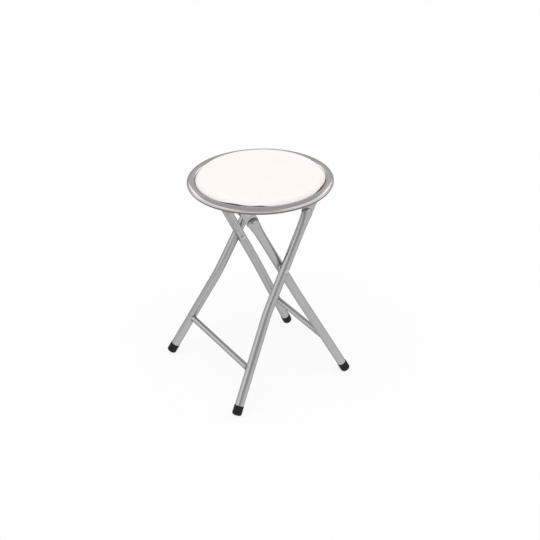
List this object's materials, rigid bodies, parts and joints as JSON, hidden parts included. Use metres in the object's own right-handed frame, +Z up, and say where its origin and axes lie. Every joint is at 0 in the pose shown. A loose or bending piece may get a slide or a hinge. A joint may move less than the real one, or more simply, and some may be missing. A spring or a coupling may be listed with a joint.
{
  "type": "folding stool",
  "caption": "Round folding stool: crossing bent-tube leg frames with crossbars and rubber feet, and a steel-rimmed padded seat that swings up as it folds.",
  "frame": {"origin": "floor level, under the middle of the open stool's outline", "axes": "+X is the fold direction, towards the side where the seat is hinged; +Y runs along the hinge pins, to the left; +Z is up"},
  "size_m": [0.3108, 0.3126, 0.4558],
  "materials": {
    "frame_paint": "satin silver paint",
    "rim_paint": "satin silver paint",
    "pan_paint": "matt grey paint",
    "foot_rubber": "matt moulded black",
    "fastener_steel": "zinc plated",
    "bracket_steel": "zinc plated",
    "washer_nylon": "natural nylon",
    "board_wood": "raw plywood",
    "pad_foam": "open foam",
    "cover_vinyl": "smooth white vinyl"
  },
  "bodies": {
    "outer_frame": {"outer_leg_left": "frame_paint", "outer_leg_right": "frame_paint", "front_crossbar": "frame_paint", "outer_foot_left": "foot_rubber", "outer_foot_right": "foot_rubber", "pivot_rivet_left": "fastener_steel", "pivot_rivet_right": "fastener_steel", "pivot_washer_left": "washer_nylon", "pivot_washer_right": "washer_nylon", "hinge_rivet_left": "fastener_steel", "hinge_rivet_right": "fastener_steel", "hinge_washer_left": "washer_nylon", "hinge_washer_right": "washer_nylon"},
    "inner_frame": {"inner_leg_left": "frame_paint", "inner_leg_right": "frame_paint", "rear_crossbar": "frame_paint", "inner_foot_left": "foot_rubber", "inner_foot_right": "foot_rubber", "catch_rod": "bracket_steel"},
    "seat": {"seat_rim": "rim_paint", "seat_pan": "pan_paint", "seat_board": "board_wood", "seat_foam": "pad_foam", "seat_cover": "cover_vinyl", "cover_staples": "fastener_steel", "hinge_bracket_left": "bracket_steel", "hinge_bracket_right": "bracket_steel", "catch_hook_left": "bracket_steel", "catch_hook_right": "bracket_steel", "bracket_screws": "fastener_steel"}
  },
  "joints": [
    {"name": "leg_fold", "type": "hinge", "parent": "outer_frame", "child": "inner_frame", "pos_m": [0.00142, 0, 0.2781], "axis": [0, 1, 0], "range_deg": [0, 50]},
    {"name": "seat_hinge", "type": "hinge", "parent": "outer_frame", "child": "seat", "pos_m": [0.07461, 0, 0.41303], "axis": [0, 1, 0], "range_deg": [0, 118]}
  ],
  "couplings": [
    {"joint": "seat_hinge", "follows": "leg_fold", "ratio": 2.36}
  ]
}
